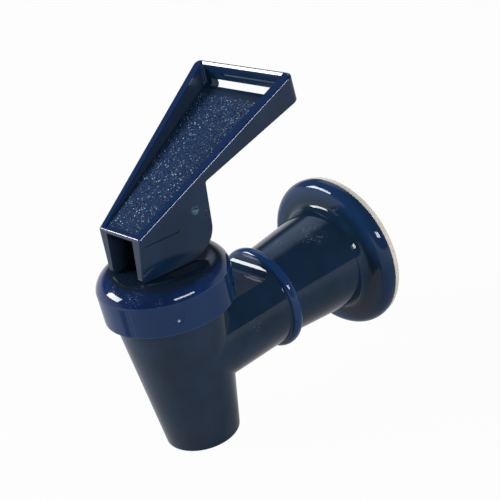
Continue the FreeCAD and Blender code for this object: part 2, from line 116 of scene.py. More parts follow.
def maths(tree, operation, first, second=None, third=None):
    """Add a sum on one to three values, each a socket or a number."""
    node = add_node(tree, "ShaderNodeMath", {"operation": operation})
    for index, value in enumerate((first, second, third)):
        if isinstance(value, bpy.types.NodeSocket):
            tree.links.new(value, node.inputs[index])
        elif value is not None:
            node.inputs[index].default_value = value
    return node.outputs[0]


def times(tree, first, second):
    """Multiply two values."""
    return maths(tree, "MULTIPLY", first, second)


def band(tree, value, low, high, start=0.0, end=1.0):
    """Spread a value from one range to another, clamped and with soft ends."""
    node = add_node(tree, "ShaderNodeMapRange", {"interpolation_type": "SMOOTHSTEP"},
                    From_Min=low, From_Max=high, To_Min=start, To_Max=end)
    tree.links.new(value, node.inputs["Value"])
    return node.outputs[0]


def blend_colours(tree, share, first, second):
    """Mix two colours by a share; each colour is a socket or a triple."""
    node = add_node(tree, "ShaderNodeMix", {"data_type": "RGBA"})
    tree.links.new(share, node.inputs["Factor"])
    for name, colour in (("A", first), ("B", second)):
        socket = [s for s in node.inputs if s.name == name and s.type == "RGBA"][0]
        if isinstance(colour, bpy.types.NodeSocket):
            tree.links.new(colour, socket)
        else:
            socket.default_value = (*colour, 1)
    return [s for s in node.outputs if s.type == "RGBA"][0]


def axes(tree, place):
    """Split a place or a direction into its X, Y and Z."""
    split = add_node(tree, "ShaderNodeSeparateXYZ")
    tree.links.new(place, split.inputs[0])
    return split.outputs["X"], split.outputs["Y"], split.outputs["Z"]


def distance_to(tree, place, point):
    """Give the distance from a point."""
    away = add_node(tree, "ShaderNodeVectorMath", {"operation": "DISTANCE"})
    tree.links.new(place, away.inputs[0])
    away.inputs[1].default_value = point
    return away.outputs["Value"]


def direction(azimuth, elevation):
    """Unit vector from an azimuth, which is zero straight in front, and an elevation."""
    around, above = math.radians(azimuth), math.radians(elevation)
    return Vector((math.sin(around) * math.cos(above), -math.cos(around) * math.cos(above),
                   math.sin(above)))


def softbox(name, azimuth, elevation, distance, width, height, radiance):
    """Hang a rectangular lamp that faces the bonnet and shines at the radiance given."""
    lamp = bpy.data.objects.new(name, bpy.data.lights.new(name, "AREA"))
    bpy.context.scene.collection.objects.link(lamp)
    lamp.data.shape = "RECTANGLE"
    lamp.data.size = width
    lamp.data.size_y = height
    lamp.data.energy = radiance * math.pi * width * height
    away = direction(azimuth, elevation)
    lamp.location = lamp_aim + distance * away
    lamp.rotation_mode = "QUATERNION"
    lamp.rotation_quaternion = away.to_track_quat("Z", "Y")


softbox("left_softbox", azimuth=-48, elevation=25, distance=1.0, width=0.50, height=0.29,
        radiance=27.0)
softbox("right_softbox", azimuth=82, elevation=21, distance=1.2, width=0.70, height=0.17,
        radiance=24.0)

world = bpy.data.worlds.new("room")
bpy.context.scene.world = world
world.use_nodes = True
room = world.node_tree
room.nodes.clear()
room_place = add_node(room, "ShaderNodeTexCoord").outputs["Generated"]
room_colour = (0.07, 0.07, 0.07)
backdrop_colour = (0.97, 0.97, 0.97)
backdrop_full_height = 0.10
backdrop_end_height = 0.34
window_colour = (1.00, 1.20, 1.60)


def toward(azimuth, elevation, edge, core):
    """Give one in a direction of the room, fading to zero at the edge's angle from it."""
    dot = add_node(room, "ShaderNodeVectorMath", {"operation": "DOT_PRODUCT"})
    room.links.new(room_place, dot.inputs[0])
    dot.inputs[1].default_value = direction(azimuth, elevation)
    return band(room, dot.outputs["Value"], math.cos(math.radians(edge)),
                math.cos(math.radians(core)))


room_height = axes(room, room_place)[2]
backdrop = times(room, band(room, room_height, backdrop_full_height, backdrop_end_height, 1.0, 0.0),
                 toward(azimuth=-127, elevation=0, edge=112, core=90))
room_shade = blend_colours(room, backdrop, room_colour, backdrop_colour)
room_shade = blend_colours(room, toward(azimuth=-140, elevation=48, edge=27, core=8), room_shade,
                           window_colour)
room_light = add_node(room, "ShaderNodeBackground", Strength=1.0)
room.links.new(room_shade, room_light.inputs["Color"])
room_end = add_node(room, "ShaderNodeOutputWorld")
room.links.new(room_light.outputs[0], room_end.inputs["Surface"])

floor_size = 8.0
floor_gap = 0.0002
floor_glow = 0.97
floor_colour = (0.50, 0.50, 0.50, 1)
# Painted shade: seen in reflections, the floor is darker near the object and brightens further
# away.
shade_centre = (0, -0.045, 0)
shade_near = 0.07
shade_far = 0.20
gloss_near = 0.30
gloss_far = 0.92
floor_mesh = bmesh.new()
bmesh.ops.create_grid(floor_mesh, x_segments=1, y_segments=1, size=floor_size / 2)
floor = bpy.data.objects.new("floor", bpy.data.meshes.new("floor"))
floor_mesh.to_mesh(floor.data)
floor_mesh.free()
floor.location = (0, 0, cad_low.z - floor_gap)
bpy.context.scene.collection.objects.link(floor)

floor_paper = bpy.data.materials.new("floor_paper")
floor_paper.use_nodes = True
paper = floor_paper.node_tree
paper.nodes.clear()
paper_matt = add_node(paper, "ShaderNodeBsdfDiffuse", Color=floor_colour)
paper_glow = add_node(paper, "ShaderNodeEmission", Color=(1, 1, 1, 1), Strength=1.0)
paper_rays = add_node(paper, "ShaderNodeLightPath")
paper_place = add_node(paper, "ShaderNodeTexCoord").outputs["Object"]
# The painted shade round the object, seen only by glossy rays.
paper_away = distance_to(paper, paper_place, shade_centre)
paper_mirrored = times(paper, paper_rays.outputs["Is Glossy Ray"],
                       band(paper, paper_away, shade_near, shade_far, gloss_near, gloss_far))
paper_seen = maths(paper, "MAXIMUM", paper_rays.outputs["Is Camera Ray"], paper_mirrored)
paper_seen = maths(paper, "MAXIMUM", paper_seen, paper_rays.outputs["Is Transmission Ray"])
paper_mix = add_node(paper, "ShaderNodeMixShader")
paper.links.new(times(paper, paper_seen, floor_glow), paper_mix.inputs[0])
paper.links.new(paper_matt.outputs[0], paper_mix.inputs[1])
paper.links.new(paper_glow.outputs[0], paper_mix.inputs[2])
paper_end = add_node(paper, "ShaderNodeOutputMaterial")
paper.links.new(paper_mix.outputs[0], paper_end.inputs["Surface"])
floor.data.materials.append(floor_paper)


# Faucet body. One injection moulding in dark blue polypropylene: the tapered spout, the valve
# chamber, the shank with its ring, and the wall flange. It is glossy, a little wavy where the
# plastic shrank, with dust on top and a few rub marks.
body_deep = (0.0056, 0.0188, 0.041)
body_light = (0.0088, 0.0262, 0.059)
# Painted glow: a purer blue on the ring and the flange's edge stands for light passing through the
# thin plastic there.
body_edge_glow_colour = (0.0105, 0.0420, 0.1350)
body_roughness = 0.035
ring_y = -0.03106
ring_half_width = 0.0015
flange_front_y = -0.0062
flange_front_fade = 0.001
flange_inner_radius = 0.0170
flange_radius_fade = 0.003
flange_glow_share = 0.45
body_marks = [((0.001, -0.0225, 0.0131), 0.0035, 0.5), ((0.0055, -0.0145, 0.0125), 0.0055, 0.8),
              ((0.0129, -0.0450, 0.0020), 0.0030, 0.3)]

plastic_ior = 1.35
cloud_scale = 90
smear_scale = 260
smear_gain = 0.05
wave_scale = 60
wave_height = 0.06
scratch_scale = 900
scratch_height = 0.0015
relief_strength = 0.35
relief_depth = 0.0004

dust_colour = (0.30, 0.34, 0.42)
dust_cover = 0.75
dust_roughness = 0.5
dust_height = 0.06
dust_patch_scale = 160
dust_clump_scale = 420
loose_grains = (1300, 0.11)
coarse_grains = (1150, 0.24)
fine_grains = (2300, 0.36)
fine_grain_share = 0.45
smudge_scale = 2600
smudge_share = 0.16


def start_material(name):
    """Make an empty material with its principled shader and its place in metres."""
    material = bpy.data.materials.new(name)
    material.use_nodes = True
    tree = material.node_tree
    tree.nodes.clear()
    shader = add_node(tree, "ShaderNodeBsdfPrincipled")
    end = add_node(tree, "ShaderNodeOutputMaterial")
    tree.links.new(shader.outputs[0], end.inputs["Surface"])
    place = add_node(tree, "ShaderNodeTexCoord").outputs["Object"]
    return material, tree, shader, place


def noise(tree, place, scale, detail=3.0, stretch=None):
    """Add a noise of so many grains a metre, stretched along an axis if asked."""
    if stretch is not None:
        mapping = add_node(tree, "ShaderNodeMapping", Scale=stretch)
        tree.links.new(place, mapping.inputs[0])
        place = mapping.outputs[0]
    grains = add_node(tree, "ShaderNodeTexNoise", Scale=scale, Detail=detail)
    tree.links.new(place, grains.inputs["Vector"])
    return grains.outputs[0]


def near_point(tree, place, point, radius):
    """Give one at a point, falling softly to zero at the radius round it."""
    return band(tree, distance_to(tree, place, point), radius * 0.3, radius, 1.0, 0.0)


def cells_of(tree, place, scale):
    """Add a pattern of scattered cells, so many a metre."""
    cells = add_node(tree, "ShaderNodeTexVoronoi", Scale=scale, Randomness=1.0)
    tree.links.new(place, cells.inputs["Vector"])
    return cells


def specks(tree, place, scale, size):
    """Give one on small round grains, of which each cell of the scale holds one."""
    cells = cells_of(tree, place, scale)
    return band(tree, cells.outputs["Distance"], size * 0.5, size, 1.0, 0.0)


def add_bump(tree, shader, height, strength, depth, inward=False):
    """Shade a height as fine relief on the shader's surface."""
    bump = add_node(tree, "ShaderNodeBump", {"invert": inward}, Strength=strength, Distance=depth)
    tree.links.new(height, bump.inputs["Height"])
    tree.links.new(bump.outputs[0], shader.inputs["Normal"])


def settled_dust(tree, place, marks):
    """Give the cover of dust: loose grains on upward faces, and more of them at the marks."""
    normal = add_node(tree, "ShaderNodeNewGeometry").outputs["Normal"]
    upward = band(tree, axes(tree, normal)[2], 0.3, 0.95)
    patchy = band(tree, noise(tree, place, dust_patch_scale, 2.0), 0.52, 0.68)
    dust = times(tree, specks(tree, place, *loose_grains), patchy)
    dust = times(tree, dust, upward)
    grains = maths(tree, "MAXIMUM", specks(tree, place, *coarse_grains),
                   times(tree, specks(tree, place, *fine_grains), fine_grain_share))
    smudge = band(tree, noise(tree, place, smudge_scale, 4.0), 0.5, 0.75)
    grains = maths(tree, "MAXIMUM", grains, times(tree, smudge, smudge_share))
    for point, radius, strength in marks:
        patch = times(tree, near_point(tree, place, point, radius), strength)
        clumps = band(tree, noise(tree, place, dust_clump_scale, 3.0), 0.36, 0.56)
        patch = times(tree, patch, clumps)
        dust = maths(tree, "MAXIMUM", dust, times(tree, patch, grains))
    return dust


def blue_plastic(name, deep, light, roughness, marks):
    """Glossy blue plastic with shrink waves, fine scratches, dust and rub marks.

    The caller links the colour that this gives, once it has added its own marks to it.
    """
    material, tree, shader, place = start_material(name)
    cloud = band(tree, noise(tree, place, cloud_scale, 2.0), 0.35, 0.7)
    colour = blend_colours(tree, cloud, deep, light)
    dust = settled_dust(tree, place, marks)
    colour = blend_colours(tree, times(tree, dust, dust_cover), colour, dust_colour)

    smear = band(tree, noise(tree, place, smear_scale, 5.0, (1, 1, 0.35)), 0.42, 0.75,
                 roughness, roughness + smear_gain)
    tree.links.new(maths(tree, "ADD", smear, times(tree, dust, dust_roughness)),
                   shader.inputs["Roughness"])

    waves = noise(tree, place, wave_scale, 1.0)
    scratches = noise(tree, place, scratch_scale, 2.0, (1, 1, 0.08))
    relief = maths(tree, "ADD", times(tree, waves, wave_height),
                   times(tree, scratches, scratch_height))
    relief = maths(tree, "ADD", relief, times(tree, dust, dust_height))
    add_bump(tree, shader, relief, relief_strength, relief_depth)
    shader.inputs["IOR"].default_value = plastic_ior
    return material, tree, shader, place, colour


def dress(node_name, material):
    """Give a carried-over piece its finish."""
    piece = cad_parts[node_name]
    piece.data.materials.clear()
    piece.data.materials.append(material)


def apart(tree, value, centre):
    """Give how far a value lies from a number, on either side."""
    return maths(tree, "ABSOLUTE", maths(tree, "SUBTRACT", value, centre))


def length(tree, first, second):
    """Give the length of a line from its parts along two axes."""
    squares = maths(tree, "ADD", maths(tree, "POWER", first, 2), maths(tree, "POWER", second, 2))
    return maths(tree, "POWER", squares, 0.5)


def body_blue():
    """The blue plastic, with a painted glow of purer blue on the ring and the flange's edge,
    standing for light that shines through the thin plastic there.
    """
    material, tree, shader, place, colour = blue_plastic("body_blue", body_deep, body_light,
                                                         body_roughness, body_marks)
    across, along, up = axes(tree, place)
    on_ring = band(tree, apart(tree, along, ring_y), ring_half_width * 0.7, ring_half_width * 1.2,
                   1.0, 0.0)
    on_flange = times(tree, band(tree, along, flange_front_y - flange_front_fade, flange_front_y),
                      band(tree, length(tree, across, up), flange_inner_radius,
                           flange_inner_radius + flange_radius_fade))
    # Painted glow of light through the ring and the flange's edge.
    painted_glow = maths(tree, "MAXIMUM", on_ring, times(tree, on_flange, flange_glow_share))
    tree.links.new(blend_colours(tree, painted_glow, colour, body_edge_glow_colour),
                   shader.inputs["Base Color"])
    return material


dress("faucet_body", body_blue())


# Bonnet. A cap moulded in a slightly purer blue and snapped over the body's neck. Dust
# lies on its top round the lever's foot, where painted shade darkens the top as well. The side
# below the crease is painted brighter for the light on it, and carries a painted reflection: a
# deeper blue streak with a pale line beside it. Pale painted lines of light run along the crease
# and the low edge, and the broken gate's nib is a pale spot.
spout_y = -0.0598
bonnet_deep = (0.0040, 0.0165, 0.068)
bonnet_light = (0.0064, 0.0250, 0.096)
bonnet_roughness = 0.03
bonnet_marks = [((0.0015, -0.0720, 0.0258), 0.0068, 0.75), ((0.0105, -0.0660, 0.0258), 0.0050, 0.4),
                ((0.0145, -0.0560, 0.0254), 0.0050, 0.3), ((0.0122, -0.0710, 0.0225), 0.0025, 0.5),
                ((0.0060, -0.0725, 0.0252), 0.0055, 0.85)]
# Painted light: the side below the crease is painted a brighter blue, standing for light falling on
# it.
skirt_lit_colour = (0.0052, 0.0300, 0.0980)
skirt_lit_share = 0.8
skirt_low_z = 0.0130
crease_z = 0.0213
crease_fade = 0.0006
# Painted light: pale lines along the crease and the skirt's low edge stand for light caught there.
edge_line_core = 0.0001
crease_line_reach = 0.0004
crease_light_line_share = 0.4
skirt_line_reach = 0.0005
skirt_light_line_share = 0.5

# Painted shade: round the lever's foot the bonnet's top is painted a dull dark teal, standing
# for the lever's shadow and its dark reflection there.
foot_shade_colour = (0.0055, 0.0125, 0.0190)
foot_shade_share = 0.85
foot_shade_radius = 0.0152
foot_shade_fade = 0.0020
foot_shade_shift = 0.0018
foot_shade_waver = 0.004
foot_shade_waver_scale = 200
foot_shade_z = 0.0243
foot_shade_z_fade = 0.0012

# The streak is a painted reflection on the side: a deeper blue band, less glossy, with a pale
# line beside it. Its angles are in radians, from straight in front towards the right.
streak_reflection_colour = (0.0012, 0.0135, 0.078)
streak_start = 0.17
streak_end = 0.31
streak_start_fade = 0.05
streak_end_fade = 0.03
streak_share = 0.85
streak_gloss_loss = -0.3
streak_waver = 0.03
streak_waver_scale = 260
plain_gloss = 0.5
streak_line = 0.375
streak_line_half_width = 0.007
streak_line_share = 0.6
pale_light_line_colour = (0.022, 0.060, 0.170)
# The broken gate's nib is painted as a pale spot.
nib_place = (0.01489, -0.06820, 0.0167)
nib_radius = 0.00055
nib_colour = (0.42, 0.52, 0.68)


def bonnet_blue():
    """The blue plastic, with painted shade on top, a painted lit side, a painted reflection streak,
    painted lines of light on the edges, and a pale nib.
    """
    material, tree, shader, place, colour = blue_plastic("bonnet_blue", bonnet_deep, bonnet_light,
                                                         bonnet_roughness, bonnet_marks)
    across, along, up = axes(tree, place)
    forward = maths(tree, "SUBTRACT", spout_y, along)
    out = length(tree, maths(tree, "SUBTRACT", across, foot_shade_shift), forward)
    wander = noise(tree, place, foot_shade_waver_scale, 3.0)
    out = maths(tree, "MULTIPLY_ADD", wander, foot_shade_waver, out)
    # Painted shade round the lever's foot.
    foot_shade = times(tree, band(tree, out, foot_shade_radius, foot_shade_radius + foot_shade_fade, foot_shade_share, 0.0),
                 band(tree, up, foot_shade_z - foot_shade_z_fade, foot_shade_z))
    colour = blend_colours(tree, foot_shade, colour, foot_shade_colour)

    # Painted light on the side below the crease.
    on_side = band(tree, up, crease_z - crease_fade, crease_z, 1.0, 0.0)
    colour = blend_colours(tree, times(tree, on_side, skirt_lit_share), colour, skirt_lit_colour)

    # Painted reflection: the streak on the side and its pale line.
    waver = maths(tree, "MULTIPLY_ADD", noise(tree, place, streak_waver_scale, 2.0), streak_waver,
                  -streak_waver / 2)
    around = maths(tree, "ADD", maths(tree, "ARCTAN2", across, forward), waver)
    streak = times(tree, band(tree, around, streak_start, streak_start + streak_start_fade, 0.0,
                              streak_share),
                   band(tree, around, streak_end - streak_end_fade, streak_end, 1.0, 0.0))
    streak = times(tree, streak, on_side)
    colour = blend_colours(tree, streak, colour, streak_reflection_colour)
    tree.links.new(maths(tree, "MULTIPLY_ADD", streak, streak_gloss_loss, plain_gloss),
                   shader.inputs["Specular IOR Level"])

    line = band(tree, apart(tree, around, streak_line), streak_line_half_width * 0.4,
                streak_line_half_width, 1.0, 0.0)
    line = times(tree, times(tree, line, on_side), streak_line_share)
    # Painted lines of light along the crease and the low edge.
    edges = maths(tree, "MAXIMUM",
                  band(tree, apart(tree, up, crease_z), edge_line_core, crease_line_reach,
                       crease_light_line_share, 0.0),
                  band(tree, up, skirt_low_z + edge_line_core, skirt_low_z + skirt_line_reach,
                       skirt_light_line_share, 0.0))
    colour = blend_colours(tree, maths(tree, "MAXIMUM", line, edges), colour, pale_light_line_colour)
    colour = blend_colours(tree, near_point(tree, place, nib_place, nib_radius), colour,
                           nib_colour)
    tree.links.new(colour, shader.inputs["Base Color"])
    return material


dress("bonnet", bonnet_blue())


# Lever. One moulding in the same blue: a tray for the thumb, two side plates and a heel that
# rolls on the bonnet. Handling has polished its rims, which carry a painted glow of purer blue,
# and the mould left the tray's walls matt; they are painted a lighter grey-blue for the light on
# them.
lever_deep = (0.0045, 0.0180, 0.046)
lever_light = (0.0070, 0.0255, 0.066)
lever_roughness = 0.12
lever_marks = [((0.0112, -0.0500, 0.0370), 0.0030, 0.45), ((0.0, -0.0690, 0.0372), 0.0080, 0.4)]
front_top_y = spout_y - 0.00925
lever_foot_z = 0.02545
lever_front_height = 0.0118
front_top_z = lever_foot_z + lever_front_height
rim_slope = 0.524
# Painted glow: the rims are painted a purer blue, standing for light passing through the thin
# edges.
rim_glow_colour = (0.0050, 0.0230, 0.0900)
rim_glow_share = 0.8
rim_glow_depth = 0.0013
rim_gloss_depth = 0.0006
rim_roughness_loss = -0.6
rim_ior_gain = 0.25
tray_front_y = spout_y - 0.0086
tray_front_half_width = 0.00641
tray_rear_half_width = 0.01538
tray_length = 0.04645
# Painted light: the tray's walls are matt and painted a lighter grey-blue, standing for light
# falling on them.
tray_wall_lit_colour = (0.0150, 0.0270, 0.0520)
tray_wall_lit_share = 0.85
tray_wall_roughness = 0.30
tray_wall_margin = 0.0007
tray_wall_top = 0.0003
tray_wall_end_gap = 0.0015
tray_wall_end = tray_front_y + tray_length - tray_wall_end_gap
tray_wall_end_fade = 0.0008
scuff_place = (0.0109, -0.0532, 0.0384)
scuff_radius = 0.0015
scuff_colour = (0.100, 0.190, 0.260)
scuff_scale = 1400


def lever_blue():
    """The blue plastic, glossier on the rubbed rims, which carry a painted glow, dull on the tray's
    walls, which are painted lighter for the light on them, with one scuff.
    """
    material, tree, shader, place, colour = blue_plastic("lever_blue", lever_deep, lever_light,
                                                         lever_roughness, lever_marks)
    across, along, up = axes(tree, place)
    rim_height = maths(tree, "MULTIPLY_ADD", along, rim_slope,
                       front_top_z - rim_slope * front_top_y)
    below_rim = maths(tree, "SUBTRACT", rim_height, up)
    # Painted glow on the rims.
    rim = band(tree, below_rim, rim_glow_depth * 0.4, rim_glow_depth, rim_glow_share, 0.0)
    colour = blend_colours(tree, rim, colour, rim_glow_colour)

    flare = (tray_rear_half_width - tray_front_half_width) / tray_length
    half_width = maths(tree, "MULTIPLY_ADD", along, flare,
                       tray_front_half_width - flare * tray_front_y + tray_wall_margin)
    inside = maths(tree, "SUBTRACT", half_width, maths(tree, "ABSOLUTE", across))
    # The walls are matt, and painted lighter for the light on them.
    matt_and_lit_walls = times(tree, band(tree, inside, 0.0, tray_wall_margin * 0.4),
                 band(tree, below_rim, tray_wall_top, tray_wall_top * 2))
    matt_and_lit_walls = times(tree, matt_and_lit_walls, band(tree, along, tray_wall_end - tray_wall_end_fade, tray_wall_end,
                                  1.0, 0.0))
    colour = blend_colours(tree, times(tree, matt_and_lit_walls, tray_wall_lit_share), colour, tray_wall_lit_colour)

    scuff = times(tree, near_point(tree, place, scuff_place, scuff_radius),
                  band(tree, noise(tree, place, scuff_scale, 3.0, (1, 0.4, 1)), 0.40, 0.60))
    tree.links.new(blend_colours(tree, scuff, colour, scuff_colour),
                   shader.inputs["Base Color"])

    rubbed = band(tree, below_rim, rim_gloss_depth * 0.6, rim_gloss_depth, 1.0, 0.0)
    roughness = shader.inputs["Roughness"].links[0].from_socket
    roughness = times(tree, roughness,
                      maths(tree, "MULTIPLY_ADD", rubbed, rim_roughness_loss, 1.0))
    tree.links.new(maths(tree, "MAXIMUM", roughness, times(tree, matt_and_lit_walls, tray_wall_roughness)),
                   shader.inputs["Roughness"])
    tree.links.new(maths(tree, "MULTIPLY_ADD", rubbed, rim_ior_gain, plastic_ior),
                   shader.inputs["IOR"])
    return material


dress("lever", lever_blue())


# Tray grain. The mould's spark-worn texture on the tray's floor: low round grains, each half
# a millimetre wide or a little more, that stop short of the walls and of the slot. Nearly white
# painted glints stand for the lamps caught on the sharpest tops, and the finer relief is painted
# darker in its low places as shade.
tray_depth_gain = 0.108
tray_front_depth = 0.00035
tray_slope = math.atan(rim_slope - tray_depth_gain)
grain_step = 0.00013
grain_cell = 0.00052
grain_least_radius = 0.45
grain_radius_spread = 0.35
grain_height = 0.00013
grain_least_height = 0.4
grain_height_spread = 0.6
grain_sink = 0.00001
grain_margin = 0.0004
grain_fade = 0.0012
grain_start = spout_y - 0.0080
grain_end = spout_y + 0.0345
# Painted shade: the low places of the fine relief are painted darker.
grain_pit_shade_colour = (0.0040, 0.0160, 0.0480)
grain_colour = (0.0165, 0.0450, 0.1180)
grain_fine_scale = 2100
grain_ior = 1.45
# Painted glints: pale specks in the colour stand for the lamps caught on the grains' tops, fainter
# towards the far end.
glint_colour = (0.7200, 0.9000, 1.0000)
glint_scale = 1650
glint_rarity = 3.2
glint_share_at_end = 0.75
glint_patch_scale = 130
hash_column = 127.1
hash_row = 311.7
hash_seed = 74.7
hash_spread = 43758.5453


def tray_floor_z(y):
    """Height of the tray's floor at a place along the lever."""
    rim = front_top_z + rim_slope * (y - front_top_y)
    return rim - tray_front_depth - tray_depth_gain * (y - tray_front_y)


def tray_half_width(y):
    """Half width of the tray's floor at a place along the lever."""
    share = (y - tray_front_y) / tray_length
    return tray_front_half_width + share * (tray_rear_half_width - tray_front_half_width)


def hashed(column, row, seed):
    """Give numbers from zero to one that depend on a cell and a seed."""
    mixed = np.sin(column * hash_column + row * hash_row + seed * hash_seed) * hash_spread
    return mixed - np.floor(mixed)


def grain_relief(across, along):
    """Height of round grains scattered one to a cell."""
    column = np.floor(across / grain_cell)
    row = np.floor(along / grain_cell)
    height = np.zeros_like(across)
    for step_column in (-1, 0, 1):
        for step_row in (-1, 0, 1):
            cell_column = column + step_column
            cell_row = row + step_row
            centre_across = (cell_column + hashed(cell_column, cell_row, 1)) * grain_cell
            centre_along = (cell_row + hashed(cell_column, cell_row, 2)) * grain_cell
            radius = grain_cell * (grain_least_radius
                                   + grain_radius_spread * hashed(cell_column, cell_row, 3))
            away = (across - centre_across) ** 2 + (along - centre_along) ** 2
            cap = (1 - away / radius ** 2) * (grain_least_height + grain_height_spread
                                              * hashed(cell_column, cell_row, 4))
            height = np.maximum(height, cap)
    return height * grain_height


def tray_grain_material():
    """Painted shade in the low places of the fine relief, paler on its rises, and painted glints
    nearly white.
    """
    material, tree, shader, place = start_material("tray_grain_blue")
    fine = noise(tree, place, grain_fine_scale, 2.0)
    # Painted shade in the low places of the relief that the bump below sinks.
    colour = blend_colours(tree, band(tree, fine, 0.38, 0.62), grain_pit_shade_colour, grain_colour)

    # Painted glints.
    cells = cells_of(tree, place, glint_scale)
    chance = add_node(tree, "ShaderNodeSeparateColor")
    tree.links.new(cells.outputs["Color"], chance.inputs[0])
    glint = times(tree, band(tree, cells.outputs["Distance"], 0.16, 0.40, 1.0, 0.0),
                  maths(tree, "POWER", chance.outputs[0], glint_rarity))
    glint_fade_along = band(tree, axes(tree, place)[1], grain_start, grain_end, 1.0, glint_share_at_end)
    patchy = times(tree, glint_fade_along,
                   band(tree, noise(tree, place, glint_patch_scale, 2.0), 0.3, 0.7, 0.5, 1.0))
    colour = blend_colours(tree, times(tree, glint, patchy), colour, glint_colour)
    tree.links.new(colour, shader.inputs["Base Color"])

    tree.links.new(band(tree, fine, 0.35, 0.65, 0.3, 0.16), shader.inputs["Roughness"])
    add_bump(tree, shader, fine, strength=0.6, depth=0.00006)
    shader.inputs["IOR"].default_value = grain_ior
    return material


def tray_grain_mesh():
    """A sheet of small squares on the tray's floor, raised by the grains, its rim sunk a little."""
    rows = int((grain_end - grain_start) / math.cos(tray_slope) / grain_step)
    columns = int(2 * (tray_half_width(grain_end) - grain_margin) / grain_step)
    row_y = np.linspace(grain_start, grain_end, rows + 1)
    shares = np.linspace(-1, 1, columns + 1)
    half_width = (tray_half_width(row_y) - grain_margin)[:, None]
    y = np.repeat(row_y[:, None], columns + 1, axis=1)
    x = shares[None, :] * half_width
    to_side = half_width * (1 - np.abs(shares))[None, :]
    to_end = np.minimum(y - grain_start, grain_end - y)
    fade = np.clip(np.minimum(to_side, to_end) / grain_fade, 0, 1)
    lift = grain_relief(x, y / math.cos(tray_slope)) * fade + grain_sink * (3 * fade - 1)
    z = tray_floor_z(y) + lift * math.cos(tray_slope)
    points = np.stack([x, y - lift * math.sin(tray_slope), z], axis=2).reshape(-1, 3)
    corner = (np.arange(rows)[:, None] * (columns + 1) + np.arange(columns)[None, :]).ravel()
    faces = np.stack([corner, corner + 1, corner + columns + 2, corner + columns + 1], axis=1)
    mesh = bpy.data.meshes.new("tray_grain")
    mesh.from_pydata(points.tolist(), [], faces.tolist())
    mesh.polygons.foreach_set("use_smooth", [True] * len(mesh.polygons))
    return mesh


tray_grain = bpy.data.objects.new("tray_grain", tray_grain_mesh())
bpy.context.scene.collection.objects.link(tray_grain)
tray_grain.data.materials.append(tray_grain_material())
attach(tray_grain, "lever")


# Mounting gasket. A ring punched from a sheet of cream foam rubber and pressed flat between
# the flange and the panel. Its cut edge shows a little soil and open pores, which are sunk in the
# relief and painted darker as shade.
foam_pale = (0.86, 0.81, 0.70)
foam_soiled = (0.66, 0.58, 0.44)
foam_pores = (2600, 0.45)
foam_pore_shade_share = 0.45
foam_soil_scale = 320
foam_soil_share = 0.6


def foam():
    """Cream foam with soiled patches and fine pores painted darker as shade."""
    material, tree, shader, place = start_material("cream_foam")
    pores = specks(tree, place, *foam_pores)
    soil = band(tree, noise(tree, place, foam_soil_scale, 4.0), 0.45, 0.75, 0.0, foam_soil_share)
    # The soiled patches are dirt; the darker pores are painted shade.
    shade = maths(tree, "MAXIMUM", soil, times(tree, pores, foam_pore_shade_share))
    tree.links.new(blend_colours(tree, shade, foam_pale, foam_soiled),
                   shader.inputs["Base Color"])
    tree.links.new(band(tree, soil, 0.0, foam_soil_share, 0.82, 0.95), shader.inputs["Roughness"])
    add_bump(tree, shader, pores, strength=0.8, depth=0.0001, inward=True)
    return material


dress("mounting_gasket", foam())


# Thread insert. A turned brass bush locked in the shank by two grooves. The solid has a plain
# bore, and this piece stands for it with the real thread, 20 turns an inch, cut in the bore.
insert_length = 0.0156
insert_radius = 0.0072
insert_rounding = 0.0004
groove_depth = 0.0006
groove_width = 0.0020
thread_bore_radius = 0.00495
thread_root_radius = 0.00556
thread_pitch = 0.00127
thread_flat = 1.35
thread_flank = 2.1
thread_lead_in = 0.0005
thread_sides = 96
thread_steps_a_turn = 12
thread_angles = [2 * math.pi * side / thread_sides for side in range(thread_sides)]
brass_bright = (0.76, 0.55, 0.25)
brass_dull = (0.44, 0.29, 0.12)
metal_patch_scale = 300
metal_line_scale = 3000
metal_roughness_gain = 0.18


def insert_outline():
    """Outer outline of the bush, as (radius, place along the shank) from front to mouth."""
    small = insert_radius - groove_depth
    outline = [(insert_radius - insert_rounding, -insert_length),
               (insert_radius, -insert_length + insert_rounding)]
    for share in (1 / 3, 2 / 3):
        middle = -insert_length * (1 - share)
        front, rear = middle - groove_width / 2, middle + groove_width / 2
        outline += [(insert_radius, front), (small, front), (small, rear), (insert_radius, rear)]
    return outline + [(insert_radius, -insert_rounding), (insert_radius - insert_rounding, 0)]


def thread_radius(angle, along):
    """Radius of the bore where the thread's V stands at an angle and a place."""
    turn = (along / thread_pitch - angle / (2 * math.pi)) % 1.0
    groove = min(1.0, max(0.0, thread_flat - abs(2 * turn - 1) * thread_flank))
    cut = thread_bore_radius + groove * (thread_root_radius - thread_bore_radius)
    from_end = min(-along, insert_length + along)
    flare = thread_root_radius - min(from_end / thread_lead_in, 1) * (thread_root_radius
                                                                      - thread_bore_radius)
    return max(cut, flare)


def add_ring(mesh, along, radii):
    """Add one ring of points, with a radius for each of the bush's angles."""
    return [mesh.verts.new((radius * math.cos(angle), along, radius * math.sin(angle)))
            for angle, radius in zip(thread_angles, radii)]


